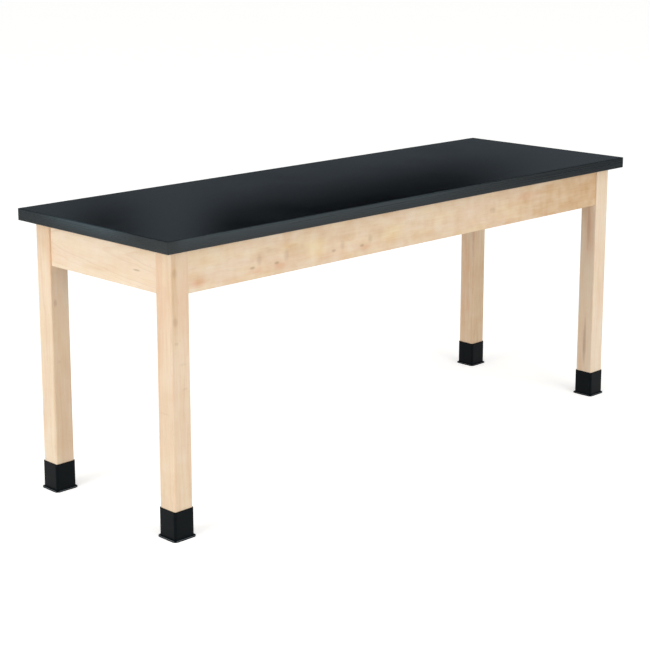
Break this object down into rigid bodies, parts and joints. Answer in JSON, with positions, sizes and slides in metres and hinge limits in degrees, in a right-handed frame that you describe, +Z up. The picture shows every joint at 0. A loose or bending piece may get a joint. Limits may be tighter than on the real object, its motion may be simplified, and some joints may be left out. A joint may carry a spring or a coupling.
{
  "type": "science lab table",
  "caption": "Rectangular laboratory table: black laminate top on square maple legs with plain aprons, black leg boots and hidden levelling glides.",
  "frame": {"origin": "centre of the table on the floor, between the four boots", "axes": "+X along the length, -Y to the front (the long side that the picture shows), +Z up"},
  "size_m": [1.8288, 0.6096, 0.762],
  "materials": {
    "black_laminate": "satin",
    "black_edge_band": "satin",
    "board_core": "matte",
    "backer_sheet": "matte",
    "maple_leg": "satin",
    "maple_apron": "satin",
    "maple_inside": "matte",
    "brace_steel": "satin",
    "zinc_fastener": "satin",
    "black_boot": "satin",
    "glide_nylon": "matte",
    "glide_steel": "satin"
  },
  "bodies": {
    "table": {"apron_back": "maple_apron", "apron_front": "maple_apron", "apron_left": "maple_apron", "apron_right": "maple_apron", "boot_back_left": "black_boot", "boot_back_right": "black_boot", "boot_front_left": "black_boot", "boot_front_right": "black_boot", "brace_nuts": "zinc_fastener", "brace_screws": "zinc_fastener", "brace_washers": "zinc_fastener", "cleat_back_left": "maple_inside", "cleat_back_right": "maple_inside", "cleat_front_left": "maple_inside", "cleat_front_right": "maple_inside", "cleat_left_end": "maple_inside", "cleat_right_end": "maple_inside", "cleat_screws": "zinc_fastener", "corner_brace_back_left": "brace_steel", "corner_brace_back_right": "brace_steel", "corner_brace_front_left": "brace_steel", "corner_brace_front_right": "brace_steel", "cross_rail": "maple_inside", "edge_band_back": "black_edge_band", "edge_band_front": "black_edge_band", "edge_band_left": "black_edge_band", "edge_band_right": "black_edge_band", "hanger_bolts": "zinc_fastener", "insert_nuts": "zinc_fastener", "leg_back_left": "maple_leg", "leg_back_right": "maple_leg", "leg_front_left": "maple_leg", "leg_front_right": "maple_leg", "top_backer": "backer_sheet", "top_core": "board_core", "top_laminate": "black_laminate", "top_screws": "zinc_fastener"},
    "glide_pad_front_left": {"glide_pad_front_left": "glide_nylon"},
    "glide_stem_front_left": {"glide_stem_front_left": "glide_steel"},
    "glide_pad_front_right": {"glide_pad_front_right": "glide_nylon"},
    "glide_stem_front_right": {"glide_stem_front_right": "glide_steel"},
    "glide_pad_back_right": {"glide_pad_back_right": "glide_nylon"},
    "glide_stem_back_right": {"glide_stem_back_right": "glide_steel"},
    "glide_pad_back_left": {"glide_pad_back_left": "glide_nylon"},
    "glide_stem_back_left": {"glide_stem_back_left": "glide_steel"}
  },
  "joints": [
    {"name": "glide_lift_front_left", "type": "slide", "parent": "table", "child": "glide_pad_front_left", "axis": [0, 0, -1], "range_m": [0, 0.0127]},
    {"name": "glide_turn_front_left", "type": "hinge", "parent": "glide_pad_front_left", "child": "glide_stem_front_left", "pos_m": [-0.85408, -0.24447, 0.0062], "axis": [0, 0, -1], "range_deg": [-360, 3600]},
    {"name": "glide_lift_front_right", "type": "slide", "parent": "table", "child": "glide_pad_front_right", "axis": [0, 0, -1], "range_m": [0, 0.0127]},
    {"name": "glide_turn_front_right", "type": "hinge", "parent": "glide_pad_front_right", "child": "glide_stem_front_right", "pos_m": [0.85408, -0.24447, 0.0062], "axis": [0, 0, -1], "range_deg": [-360, 3600]},
    {"name": "glide_lift_back_right", "type": "slide", "parent": "table", "child": "glide_pad_back_right", "axis": [0, 0, -1], "range_m": [0, 0.0127]},
    {"name": "glide_turn_back_right", "type": "hinge", "parent": "glide_pad_back_right", "child": "glide_stem_back_right", "pos_m": [0.85408, 0.24447, 0.0062], "axis": [0, 0, -1], "range_deg": [-360, 3600]},
    {"name": "glide_lift_back_left", "type": "slide", "parent": "table", "child": "glide_pad_back_left", "axis": [0, 0, -1], "range_m": [0, 0.0127]},
    {"name": "glide_turn_back_left", "type": "hinge", "parent": "glide_pad_back_left", "child": "glide_stem_back_left", "pos_m": [-0.85408, 0.24447, 0.0062], "axis": [0, 0, -1], "range_deg": [-360, 3600]}
  ],
  "couplings": [
    {"joint": "glide_turn_front_left", "follows": "glide_lift_front_left", "rad_per_m": 4452.7},
    {"joint": "glide_turn_front_right", "follows": "glide_lift_front_right", "rad_per_m": 4452.7},
    {"joint": "glide_turn_back_right", "follows": "glide_lift_back_right", "rad_per_m": 4452.7},
    {"joint": "glide_turn_back_left", "follows": "glide_lift_back_left", "rad_per_m": 4452.7}
  ]
}
